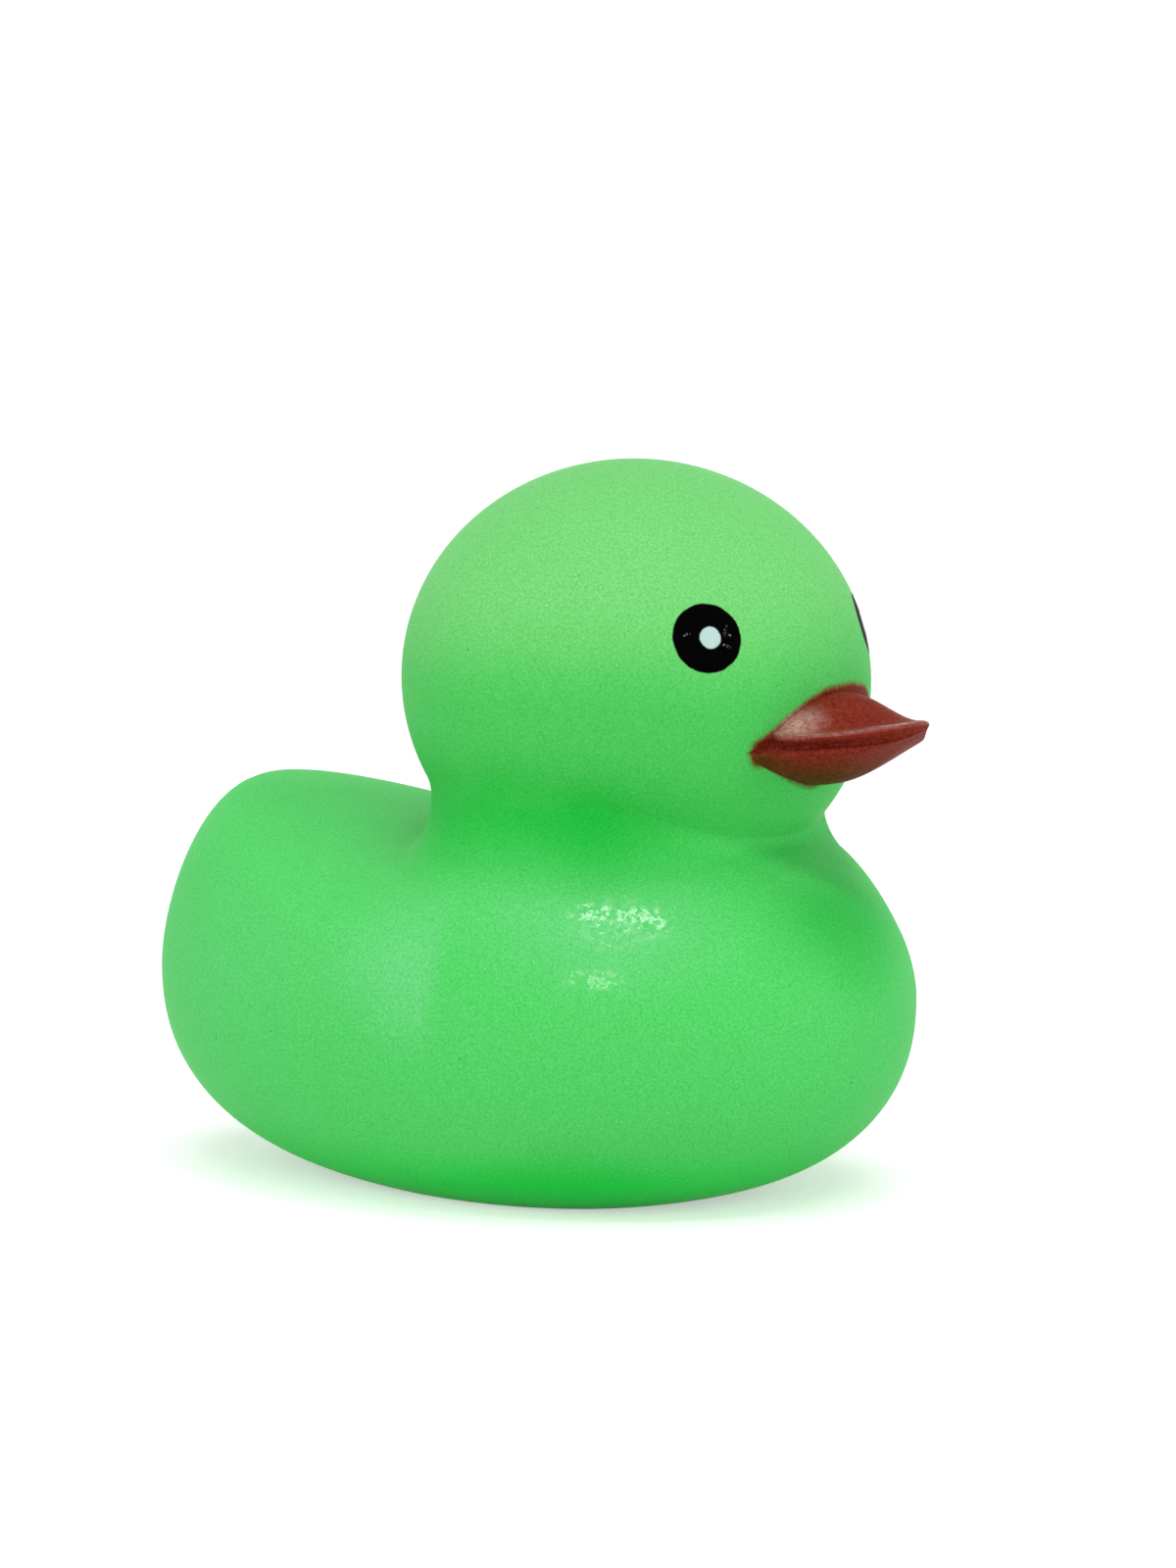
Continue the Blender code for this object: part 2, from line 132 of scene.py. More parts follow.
def head_point(angle, side):
    """(outward, up) of the head's outline at an angle above its equator."""
    rise = HEAD_HALF_HEIGHT * np.sin(angle)
    reach = HEAD_RADIUS * np.cos(angle)
    if side == "side":
        return np.stack([reach, HEAD_Z + rise * math.cos(HEAD_NOD)], axis=-1)
    sign = 1.0 if side == "front" else -1.0
    x = sign * reach * math.cos(HEAD_NOD) + rise * math.sin(HEAD_NOD)
    z = -sign * reach * math.sin(HEAD_NOD) + rise * math.cos(HEAD_NOD)
    return np.stack([sign * (HEAD_X + x), HEAD_Z + z], axis=-1)


def smooth_link(start, start_way, end, end_way, count):
    """A cubic that leaves and arrives along two given directions."""
    pull = np.linalg.norm(end - start)
    t = np.linspace(0.0, 1.0, count)[:, None]
    leave = (2 * t**3 - 3 * t**2 + 1) * start + (t**3 - 2 * t**2 + t) * start_way * pull
    return leave + (3 * t**2 - 2 * t**3) * end + (t**3 - t**2) * end_way * pull


def spread_evenly(curve, count):
    steps = np.linalg.norm(np.diff(curve, axis=0), axis=1)
    length = np.concatenate([[0.0], np.cumsum(steps)])
    at = np.linspace(0.0, length[-1], count)
    return np.stack([np.interp(at, length, curve[:, k]) for k in (0, 1)], axis=1)


def belly_curve(ground, reach, height, fullness):
    """From the edge of the flat base out to the widest point."""
    full_height = height + BASE_SLICE
    start = math.acos((1 - BASE_SLICE / full_height) ** (fullness / 2))
    t = np.linspace(start, math.pi / 2, BELLY_RINGS)
    out = ground + (reach - ground) * np.sin(t) ** (2 / fullness)
    rise = -BASE_SLICE + full_height * (1 - np.cos(t) ** (2 / fullness))
    rise[0] = 0.0
    return np.stack([out, rise], axis=1)


def shoulder_curve(reach, height, top, fullness):
    """From the widest point up and in to where the profile levels out."""
    t = np.linspace(0.0, math.pi / 2, 400)
    out = reach + (top[0] - reach) * (1 - np.cos(t) ** (2 / fullness))
    rise = height + (top[1] - height) * np.sin(t) ** (2 / fullness)
    return np.stack([out, rise], axis=1)


def cut_at(curve, outward):
    """The curve up to the point where it has come in to this distance."""
    inside = int(np.argmax(curve[:, 0] < outward))
    a, b = curve[inside - 1], curve[inside]
    share = (a[0] - outward) / (a[0] - b[0])
    return np.concatenate([curve[:inside], [a + share * (b - a)]])


# %% One profile, and the rings through all three


def profile(side):
    """(outward, up) points from the edge of the base to the crown of the head."""
    ground, reach, height, top, fullness, fillet = SHAPES[side]
    belly = belly_curve(ground, reach, height, fullness[0])
    shoulder = shoulder_curve(reach, height, top, fullness[1])
    neck = head_point(-NECK_BELOW_EQUATOR, side)
    if side == "rear":
        level = np.array([-1.0, 0.0])
        foot = np.array([neck[0] + fillet, BACK_DIP_Z])
        shoulder = np.concatenate([shoulder, smooth_link(shoulder[-1], level, foot, level, 120)[1:]])
    else:
        shoulder = cut_at(shoulder, neck[0] + fillet)
    flank = spread_evenly(shoulder, FLANK_RINGS)
    flank_way = shoulder[-1] - shoulder[-2]
    flank_way = flank_way / np.linalg.norm(flank_way)
    head_start = -NECK_BELOW_EQUATOR + fillet / HEAD_RADIUS
    head_foot = head_point(head_start, side)
    head_way = head_point(head_start + 0.001, side) - head_foot
    head_way = head_way / np.linalg.norm(head_way)
    link = smooth_link(flank[-1], flank_way, head_foot, head_way, NECK_RINGS)
    head = head_point(np.linspace(head_start, math.pi / 2, HEAD_RINGS), side)
    return np.concatenate([belly, flank[1:], link[1:], head[1:]])


def side_stations(side):
    """The X of the side profile: under the middle of the body, then sliding to the head's centre."""
    head_first = len(side) - HEAD_RINGS
    widest = BELLY_RINGS - 1
    at = np.arange(len(side))
    slide = np.clip((at - widest) / (head_first - widest), 0.0, 1.0)
    slide = slide * slide * (3 - 2 * slide)
    head_x = HEAD_X + (side[:, 1] - HEAD_Z) * math.tan(HEAD_NOD)
    return np.where(at >= head_first, head_x, slide * head_x[head_first])


def rings_through(front, rear, side, stations, points):
    """Closed rings as an array of rings by points by XYZ."""
    turn = np.linspace(0.0, 2 * math.pi, points, endpoint=False)
    cos = np.cos(turn)
    front_x, front_z = front[:, :1], front[:, 1:]
    rear_x, rear_z = -rear[:, :1], rear[:, 1:]
    side_x, side_z = stations[:, None], side[:, 1:]
    taper = np.clip(1 - np.arange(len(side)) / (BELLY_RINGS + FLANK_RINGS), 0.0, 1.0)[:, None]
    x = side_x + (front_x - rear_x) / 2 * cos + ((front_x + rear_x) / 2 - side_x) * cos**2
    z = side_z + (front_z - rear_z) / 2 * cos + ((front_z + rear_z) / 2 - side_z) * cos**2
    y = side[:, :1] * np.sin(turn) * (1 + PLAN_TAPER * taper * cos)
    return np.stack([x, y, z], axis=-1)


front, rear, side = profile("front"), profile("rear"), profile("side")
skin_rings = rings_through(front, rear, side, side_stations(side), RING_POINTS)
print("skin", np.round(skin_rings.min(axis=(0, 1)), 2), np.round(skin_rings.max(axis=(0, 1)), 2))

# %% [markdown]
# ## From rings to a mesh
# A closed mesh is needed, because the bill is joined to it with a Boolean, and Booleans want an inside.
# The flat base gets two rings of its own inside its edge. Without them the one big face of the base would
# share its smooth shading with the belly and leave dark spikes there.

# %% Mesh helpers


def mesh_object(name, points, faces):
    """A new object from points in mm."""
    mesh = bpy.data.meshes.new(name)
    mesh.from_pydata((np.asarray(points) * MM).tolist(), [], faces)
    mesh.shade_smooth()
    obj = bpy.data.objects.new(name, mesh)
    bpy.context.scene.collection.objects.link(obj)
    return obj


def lofted(name, rings, first_point=None, last_point=None):
    """Rings joined by quads; each end is closed by a fan to its point, or by one face."""
    count = rings.shape[1]
    points = rings.reshape(-1, 3)
    faces = []
    for ring in range(len(rings) - 1):
        a = ring * count + np.arange(count)
        b = ring * count + (np.arange(count) + 1) % count
        faces += np.stack([a, b, b + count, a + count], axis=1).tolist()
    last = (len(rings) - 1) * count
    around = [(k, (k + 1) % count) for k in range(count)]
    for spot, base, flip in ((first_point, 0, True), (last_point, last, False)):
        ring = list(range(base, base + count))
        if spot is None:
            faces.append(ring[::-1] if flip else ring)
            continue
        points = np.concatenate([points, [spot]])
        tip = len(points) - 1
        faces += [[base + b, base + a, tip] if flip else [base + a, base + b, tip] for a, b in around]
    return mesh_object(name, points, faces)


def joined(obj, other, operation):
    """Applies one exact Boolean and removes the other object."""
    mod = obj.modifiers.new("join", "BOOLEAN")
    mod.operation = operation
    mod.solver = "EXACT"
    mod.object = other
    graph = bpy.context.evaluated_depsgraph_get()
    mesh = bpy.data.meshes.new_from_object(obj.evaluated_get(graph))
    obj.modifiers.clear()
    old = obj.data
    obj.data = mesh
    bpy.data.meshes.remove(old)
    bpy.data.objects.remove(other, do_unlink=True)
    return obj


# %% Skin of head and body
edge = skin_rings[0]
middle = edge.mean(axis=0) * [1, 1, 0]
base_rings = np.stack([middle + (edge - middle) * share for share in (0.9, 0.975)])
skin = lofted("duck_skin", np.concatenate([base_rings, skin_rings[:-1]]), None, skin_rings[-1, 0])
print("skin has", len(skin.data.vertices), "points")

# %% [markdown]
# ## The bill
# It is shaped like a small boat: a deck that rises to the forehead, a rounded rim that catches the light,
# a hollow under the rim, a mouth line and a full hull below. A loft of cross sections can hold all of
# these as formulas of the distance along the bill. The stations crowd towards the tip, so that it turns
# round smoothly.

# %% Lines along the bill
BILL_START, BILL_LENGTH, BILL_HALF_WIDTH = 21.3, 9.9, 6.7
TIP_HEIGHT = 33.92


def half_width(u):
    """Half the width at a share u of the way from the corner of the mouth to the tip."""
    return BILL_HALF_WIDTH * max(1 - u * u, 0.0) ** 0.89


def rim_reach(u):
    """How far the rim stands out: narrower where it starts on the head, a little proud further out."""
    half = half_width(u)
    return half * (1 - 0.51 * math.exp(-max(u, 0.0) / 0.11)) + 0.22 * min(1.0, half / 2.68)


def rim_height(u):
    return 33.34 + 0.97 * u * u


def mouth_height(u):
    return 32.17 + 0.82 * u + 0.4 * max(u, 0.0) ** 14


def keel_height(u):
    return mouth_height(u) - 0.4 * (1 - u**4) - 2.45 * (1 - max(u, 0.0) ** 3.45) ** 3.46


def crown_height(u):
    """Middle line of the deck: it stays high at the forehead, then drops in a hollow to the tip."""
    v = min(max((u - 0.228) / 0.772, 0.0), 1.0)
    w = 1 - v
    return 35.73 * w**3 + 3 * 36.62 * w * w * v + 3 * 33.12 * w * v * v + 34.65 * v**3


bill_lines = (half_width, rim_reach, rim_height, mouth_height, keel_height, crown_height)
for u in (0.0, 0.5, 1.0):
    print("bill at", u, [round(line(u), 2) for line in bill_lines])

# %% Bill sections
DECK_POINTS, RIM_POINTS, HULL_POINTS = 18, 7, 22


def bill_section(u):
    """Right half of the outline from the crown to the keel, as (y, z)."""
    half, reach, rim, crown = half_width(u), rim_reach(u), rim_height(u), crown_height(u)
    mouth, keel = mouth_height(u), keel_height(u)
    radius = min(0.3, 0.4 * half + 0.01)
    fullness = 1.04 + 1.82 * max(u, 0.0)
    points = []
    for t in np.linspace(0.0, 1.0, DECK_POINTS):
        s = t * (1 - radius / max(reach, 0.05))
        points.append((reach * s, rim + (crown - rim) * (1 - s * s) ** fullness))
    y0, z0 = points[-1]
    for t in np.linspace(0.0, 1.0, RIM_POINTS)[1:]:
        a = math.pi / 2 - t * math.radians(140)
        points.append((reach - radius + radius * math.cos(a), z0 - radius + radius * math.sin(a)))
    y0, z0 = points[-1]
    undercut = 0.55 * min(1.0, half / 2.68) * (1 - math.exp(-max(u, 0.0) / 0.1)) * (1 - u**6)
    half = half * (1 - 0.6 * max(u, 0.0) ** 9)
    groove = half - undercut
    for t in (0.3, 0.6, 0.85, 1.0):
        hollow = 0.5 * undercut * math.sin(math.pi * t)
        points.append((y0 + (groove - y0) * t - hollow, z0 + (mouth - z0) * t))
    lip = mouth - 0.4 * (1 - u**4)
    points.append((groove + (half - groove) * 0.6, mouth - 0.12 * (1 - u**4)))
    for t in np.linspace(0.0, 1.0, HULL_POINTS):
        a = t * math.pi / 2
        points.append((half * math.cos(a) ** 1.5, lip - (lip - keel) * math.sin(a) ** 1.5))
    return points


def round_off(u, start):
    return math.sqrt(max(0.0, 1 - (max(u - start, 0.0) / (1 - start)) ** 2))


def bill_ring(u):
    """The whole closed outline at one station; the tip is rounded off, more gently from below."""
    above, below = round_off(u, 0.865), round_off(u, 0.7)
    x = BILL_START + BILL_LENGTH * u
    right = bill_section(u)
    outline = right + [(-y, z) for y, z in right[-2:0:-1]]
    return [(x, y, TIP_HEIGHT + (z - TIP_HEIGHT) * (above if z > TIP_HEIGHT else below)) for y, z in outline]


stations = [-0.8, -0.4, 0.0] + [math.sin(a) for a in np.radians(np.linspace(2, 89, 56))]
bill_rings = np.array([bill_ring(u) for u in stations])
tip = np.array([BILL_START + BILL_LENGTH, 0.0, TIP_HEIGHT])
bill = lofted("bill", bill_rings[:, ::-1], None, tip)
print("bill", np.round(bill_rings.min(axis=(0, 1)), 2), np.round(bill_rings.max(axis=(0, 1)), 2))

# %% [markdown]
# ## One moulding
# The real body is one hollow moulding with a seat and a hole for the squeaker. So the bill is joined to
# the skin, and the hollow, the seat and the hole are taken out with the same exact Booleans.

# %% Join the bill, cut the hollow and the seat


def moved_in(curve, distance, floor):
    way = np.gradient(curve, axis=0)
    way = way / np.linalg.norm(way, axis=1, keepdims=True)
    inner = curve + distance * np.stack([-way[:, 1], way[:, 0]], axis=1)
    inner[:, 1] = np.maximum(inner[:, 1], floor)
    return inner


def cylinder(name, radius, low, high):
    turn = np.linspace(0.0, 2 * math.pi, 96, endpoint=False)
    ring = np.stack([radius * np.cos(turn), radius * np.sin(turn), np.full(96, float(low))], axis=1)
    return lofted(name, np.stack([ring, ring + [0, 0, high - low]]))


keep = np.concatenate([np.arange(2, len(side) - 2, 4), [len(side) - 1]])
inner = [moved_in(curve, WALL, BASE_WALL)[keep] for curve in (front, rear, side)]
crown_x = HEAD_X + (HEAD_HALF_HEIGHT - WALL) * math.sin(HEAD_NOD)
crown_z = HEAD_Z + (HEAD_HALF_HEIGHT - WALL) * math.cos(HEAD_NOD)
inner[0][-1], inner[1][-1], inner[2][-1] = (crown_x, crown_z), (-crown_x, crown_z), (0.0, crown_z)
inner_stations = side_stations(side)[keep]
inner_stations[-1] = crown_x
inner_rings = rings_through(*inner, inner_stations, 64)
hollow = lofted("hollow", inner_rings[:-1], None, inner_rings[-1, 0])
duck = joined(skin, bill, "UNION")
duck = joined(duck, hollow, "DIFFERENCE")
duck = joined(duck, cylinder("hole", HOLE_RADIUS, -1.0, BASE_WALL + 1.0), "DIFFERENCE")
duck = joined(duck, cylinder("seat", SEAT_RADIUS, -1.0, SEAT_DEPTH), "DIFFERENCE")
duck.name = "duck_vinyl_body"
duck.data.set_sharp_from_angle(angle=math.radians(35))
print("body has", len(duck.data.polygons), "faces")

# %% [markdown]
# ## Finishes: shared effects
# Moulded vinyl is never a flat colour. It has a soft ripple like orange peel, tiny dark specks of dust and
# a slightly uneven tone. The squeaker's plastic has the same effects, weaker. Each effect is a node group
# that works in mm, so that one set of nodes serves every material with its own values.

# %% Node helpers


def add_node(tree, kind, inputs=(), **settings):
    """A new node; inputs maps socket names or numbers to values or other sockets."""
    node = tree.nodes.new(kind)
    for key, value in settings.items():
        setattr(node, key, value)
    for key, value in dict(inputs).items():
        if isinstance(value, bpy.types.NodeSocket):
            tree.links.new(value, node.inputs[key])
        else:
            node.inputs[key].default_value = value
    return node


def math_node(tree, operation, a, b=0.0, c=0.0, clamp=False):
    node = add_node(tree, "ShaderNodeMath", operation=operation, use_clamp=clamp)
    for slot, value in enumerate((a, b, c)):
        if isinstance(value, bpy.types.NodeSocket):
            tree.links.new(value, node.inputs[slot])
        else:
            node.inputs[slot].default_value = value
    return node.outputs[0]


def ramp(tree, value, low, high, out_low=0.0, out_high=1.0):
    """A smooth step of value from low to high."""
    inputs = {"Value": value, "From Min": low, "From Max": high, "To Min": out_low, "To Max": out_high}
    return add_node(tree, "ShaderNodeMapRange", inputs, interpolation_type="SMOOTHSTEP").outputs[0]


def noise(tree, place, size, detail=2.0, roughness=0.5):
    """Noise with features of about this size in mm, from 0 to 1."""
    scale = math_node(tree, "DIVIDE", 1.0, size) if isinstance(size, bpy.types.NodeSocket) else 1.0 / size
    inputs = {"Vector": place, "Scale": scale, "Detail": detail, "Roughness": roughness}
    return add_node(tree, "ShaderNodeTexNoise", inputs).outputs["Fac"]


def mixed(tree, share, a, b):
    node = add_node(tree, "ShaderNodeMix", data_type="RGBA")
    for key, value in (("Factor", share), ("A", a), ("B", b)):
        spot = [s for s in node.inputs if s.name == key and s.type == ("VALUE" if key == "Factor" else "RGBA")][0]
        if isinstance(value, bpy.types.NodeSocket):
            tree.links.new(value, spot)
        else:
            spot.default_value = (*value, 1.0) if key != "Factor" else value
    return [s for s in node.outputs if s.type == "RGBA"][0]


def new_group(name, inputs, outputs):
    """An empty node group; inputs are (name, kind, value)."""
    tree = bpy.data.node_groups.new(name, "ShaderNodeTree")
    for label, kind, value in inputs:
        socket = tree.interface.new_socket(label, in_out="INPUT", socket_type="NodeSocket" + kind)
        if value is not None:
            socket.default_value = value
    for label, kind in outputs:
        tree.interface.new_socket(label, in_out="OUTPUT", socket_type="NodeSocket" + kind)
    return tree, tree.nodes.new("NodeGroupInput").outputs, tree.nodes.new("NodeGroupOutput").inputs


def use_group(tree, group, **values):
    node = tree.nodes.new("ShaderNodeGroup")
    node.node_tree = group
    for label, value in values.items():
        socket = node.inputs[label.replace("_", " ")]
        if isinstance(value, bpy.types.NodeSocket):
            tree.links.new(value, socket)
        else:
            socket.default_value = value
    return node.outputs


# %% Moulded surface
moulded, given, out = new_group(
    "moulded_surface",
    [("Place", "Vector", None), ("Ripple size", "Float", 2.0), ("Ripple depth", "Float", 1.0),
     ("Grain size", "Float", 0.35), ("Grain depth", "Float", 0.2)],
    [("Height", "Float"), ("Tone", "Float")],
)
wave = noise(moulded, given["Place"], given["Ripple size"], 1.0)
grain = noise(moulded, given["Place"], given["Grain size"], 2.0)
height = math_node(moulded, "MULTIPLY", wave, given["Ripple depth"])
height = math_node(moulded, "MULTIPLY_ADD", grain, given["Grain depth"], height)
moulded.links.new(height, out["Height"])
moulded.links.new(noise(moulded, given["Place"], 9.0, 3.0, 0.6), out["Tone"])

# %% Dust specks
specks, given, out = new_group(
    "dust_specks",
    [("Place", "Vector", None), ("Spacing", "Float", 2.0), ("Size", "Float", 0.08)],
    [("Mask", "Float")],
)
scale = math_node(specks, "DIVIDE", 1.0, given["Spacing"])
cells = add_node(specks, "ShaderNodeTexVoronoi", {"Vector": given["Place"], "Scale": scale, "Randomness": 1.0})
lottery = add_node(specks, "ShaderNodeSeparateColor", {"Color": cells.outputs["Color"]}).outputs[0]
radius = math_node(specks, "MULTIPLY", given["Size"], math_node(specks, "POWER", lottery, 3.0))
gap = math_node(specks, "SUBTRACT", radius, math_node(specks, "MULTIPLY", cells.outputs["Distance"], given["Spacing"]))
specks.links.new(ramp(specks, gap, -0.03, 0.02), out["Mask"])

# %% Edge of a paint or print
paint_edge, given, out = new_group(
    "paint_edge",
    [("Place", "Vector", None), ("Inside", "Float", 0.0), ("Wobble", "Float", 0.1), ("Wobble size", "Float", 1.0),
     ("Fuzz", "Float", 0.0), ("Softness", "Float", 0.05)],
    [("Mask", "Float")],
)
swing = math_node(paint_edge, "SUBTRACT", noise(paint_edge, given["Place"], given["Wobble size"], 1.0), 0.5)
inside = math_node(paint_edge, "MULTIPLY_ADD", swing, given["Wobble"], given["Inside"])
mist = math_node(paint_edge, "SUBTRACT", noise(paint_edge, given["Place"], 0.22, 1.0), 0.5)
inside = math_node(paint_edge, "MULTIPLY_ADD", mist, given["Fuzz"], inside)
low = math_node(paint_edge, "MULTIPLY", given["Softness"], -1.0)
paint_edge.links.new(ramp(paint_edge, inside, low, given["Softness"]), out["Mask"])
print("groups", [g.name for g in bpy.data.node_groups])

# %% [markdown]
# ## Duck vinyl with its printed eyes and sprayed bill
# All of it is one skin, so it is one material. Masks choose the colour: the vinyl's green, the spray's
# red-brown, the black disc of the eye and the pale dot in it. An eye is a disc round a line that stands
# square on the head, so its mask is the distance from that line. The left eye was printed a little nearer
# to the bill than the right one: that is why the photo still shows a sliver of it.

# %% Material helpers


def new_material(name):
    mat = bpy.data.materials.new(name)
    mat.use_nodes = True
    tree = mat.node_tree
    shader = tree.nodes["Principled BSDF"]
    coords = tree.nodes.new("ShaderNodeTexCoord").outputs["Object"]
    place = add_node(tree, "ShaderNodeVectorMath", {0: coords, 3: 1 / MM}, operation="SCALE").outputs[0]
    return mat, tree, shader, place


def bump(tree, height, strength, distance):
    inputs = {"Height": height, "Strength": strength, "Distance": distance * MM}
    return add_node(tree, "ShaderNodeBump", inputs).outputs[0]


def dot_with(tree, vector, way):
    return add_node(tree, "ShaderNodeVectorMath", {0: vector, 1: way}, operation="DOT_PRODUCT").outputs["Value"]


def disc_distance(tree, place, centre, across, upward, radius):
    """How far inside a disc the place is, in the disc's own plane, in mm."""
    away = add_node(tree, "ShaderNodeVectorMath", {0: place, 1: centre}, operation="SUBTRACT").outputs[0]
    a, b = dot_with(tree, away, across), dot_with(tree, away, upward)
    squares = math_node(tree, "ADD", math_node(tree, "MULTIPLY", a, a), math_node(tree, "MULTIPLY", b, b))
    inside = math_node(tree, "SUBTRACT", radius, math_node(tree, "SQRT", squares))
    near = math_node(tree, "GREATER_THAN", dot_with(tree, away, across.cross(upward)), -2.0)
    return math_node(tree, "MULTIPLY_ADD", near, 30.0, math_node(tree, "SUBTRACT", inside, 30.0))


def blob(tree, place, centre, sizes, low=1.0, high=0.6):
    """A soft patch: 1 near its centre, 0 outside an ellipsoid with these half sizes in mm."""
    away = add_node(tree, "ShaderNodeVectorMath", {0: place, 1: centre}, operation="SUBTRACT").outputs[0]
    share = add_node(tree, "ShaderNodeVectorMath", {0: away, 1: sizes}, operation="DIVIDE").outputs[0]
    length = add_node(tree, "ShaderNodeVectorMath", {0: share}, operation="LENGTH").outputs["Value"]
    return ramp(tree, length, low, high)


# %% [markdown]
# ## Where the bill's paint ends
# The paint reaches a little past the bill on to the head, as the spray mask lets it. Two curves seen from
# the front bound it, and whatever stands off the head there is bill and painted too. The mask sat a little
# crooked: the upper curve peaks beyond the middle, on the duck's left. Nodes work this out for each place,
# so the edge does not depend on the size of the mesh faces.

# %% Shape of the sprayed area in mm, seen from the front
MASK_PEAK_Y, MASK_PEAK_Z, MASK_DROP = 1.6, 36.3, 4.0
NEAR_REACH, NEAR_POWER = 8.5, 2.3
FAR_REACH, FAR_POWER, FAR_SLOPE = 6.9, 9.0, 0.0083
LOW_Z, LOW_RISE, LOW_REACH, LOW_POWER = 29.25, 2.7, 6.9, 1.6
MASK_SLOPE = 1.15
CORNER, CORNER_RADIUS = (21.9, -5.9, 32.05), 1.1
CHIN_Z = 28.5
print("mask from", LOW_Z, "to", MASK_PEAK_Z, "mm up")

# %% Paint distance of the bill


def bill_inside(tree, place):
    """How far inside the sprayed area a place is, in mm."""
    x, y, z = add_node(tree, "ShaderNodeSeparateXYZ", {0: place}).outputs
    aside = math_node(tree, "SUBTRACT", y, MASK_PEAK_Y)
    size = math_node(tree, "ABSOLUTE", aside)
    near = math_node(tree, "POWER", math_node(tree, "DIVIDE", size, NEAR_REACH), NEAR_POWER)
    far = math_node(tree, "MULTIPLY", math_node(tree, "MULTIPLY", size, size), FAR_SLOPE)
    far = math_node(tree, "ADD", far, math_node(tree, "POWER", math_node(tree, "DIVIDE", size, FAR_REACH), FAR_POWER))
    beyond = math_node(tree, "GREATER_THAN", aside, 0.0)
    drop = math_node(tree, "ADD", near, math_node(tree, "MULTIPLY", beyond, math_node(tree, "SUBTRACT", far, near)))
    below_top = math_node(tree, "SUBTRACT", math_node(tree, "MULTIPLY_ADD", drop, -MASK_DROP, MASK_PEAK_Z), z)
    rise = math_node(tree, "POWER", math_node(tree, "DIVIDE", math_node(tree, "ABSOLUTE", y), LOW_REACH), LOW_POWER)
    above_low = math_node(tree, "SUBTRACT", z, math_node(tree, "MULTIPLY_ADD", rise, LOW_RISE, LOW_Z))
    on_head = math_node(tree, "MULTIPLY", math_node(tree, "MINIMUM", below_top, above_low), MASK_SLOPE)
    corner = add_node(tree, "ShaderNodeVectorMath", {0: place, 1: CORNER}, operation="DISTANCE").outputs["Value"]
    on_head = math_node(tree, "MAXIMUM", on_head, math_node(tree, "SUBTRACT", CORNER_RADIUS, corner))
    away = add_node(tree, "ShaderNodeVectorMath", {0: place, 1: (HEAD_X, 0.0, HEAD_Z)}, operation="SUBTRACT").outputs[0]
    c, n = math.cos(HEAD_NOD), math.sin(HEAD_NOD)
    wide, tall = HEAD_RADIUS, HEAD_HALF_HEIGHT
    axes = ((c / wide, 0, -n / wide), (0, 1 / wide, 0), (n / tall, 0, c / tall))
    shares = {k: dot_with(tree, away, axis) for k, axis in enumerate(axes)}
    reach = add_node(tree, "ShaderNodeCombineXYZ", shares).outputs[0]
    level = add_node(tree, "ShaderNodeVectorMath", {0: reach}, operation="LENGTH").outputs["Value"]
    stand_off = math_node(tree, "MULTIPLY", math_node(tree, "SUBTRACT", level, 1.0), HEAD_RADIUS)
    on_bill = math_node(tree, "MINIMUM", math_node(tree, "MULTIPLY_ADD", stand_off, 40.0, -0.5), 2.0)
    on_bill = math_node(tree, "MULTIPLY_ADD", math_node(tree, "LESS_THAN", z, CHIN_Z), -20.0, on_bill)
    either = math_node(tree, "MAXIMUM", on_head, on_bill)
    return math_node(tree, "MULTIPLY_ADD", math_node(tree, "LESS_THAN", x, HEAD_X + 7.0), -20.0, either)


# %% Where the eyes are
EYE_RADIUS, LEFT_EYE_RADIUS, DOT_RADIUS = 2.4, 2.2, 0.75
HEAD_CENTRE = Vector((HEAD_X, 0.0, HEAD_Z))


def nodded(v):
    """A direction or place in the head's own frame, turned by its nod."""
    c, s = math.cos(HEAD_NOD), math.sin(HEAD_NOD)
    return Vector((v[0] * c + v[2] * s, v[1], -v[0] * s + v[2] * c))


def eye_frame(turn, rise):
    """Centre, sideways way and upward way of an eye, turned from the bill and raised, in degrees."""
    turn, rise = math.radians(turn), math.radians(rise)
    flat = HEAD_RADIUS * math.cos(rise)
    spot = Vector((flat * math.cos(turn), flat * math.sin(turn), HEAD_HALF_HEIGHT * math.sin(rise)))
    facing = Vector((spot.x / HEAD_RADIUS**2, spot.y / HEAD_RADIUS**2, spot.z / HEAD_HALF_HEIGHT**2))
    facing = nodded(facing.normalized())
    across = Vector((0, 0, 1)).cross(facing).normalized()
    return nodded(spot) + HEAD_CENTRE, across, facing.cross(across).normalized()


right_eye, left_eye = eye_frame(-37.7, 19.7), eye_frame(32.5, 19.9)
print("eyes at", [[round(v, 2) for v in eye[0]] for eye in (right_eye, left_eye)])

# %% [markdown]
# The green is not the same all over, and much of that is painted light and shade. The crown is paler and a
# little yellow as painted light; the face of the head is a little darker, and the neck and the breast are deep,
# as painted shade; the lowest band of the body is a brighter, deeper green as painted bounce light from the
# floor. Each flank has a pale painted sheen. A lamp's glint there falls as scattered bright spots and not as
# one smooth streak, so two small patches have glossy spots with a grain of their own, and the two glint bars
# light them up.

# %% Colours of the duck
GREEN = (0.083, 0.60, 0.128)
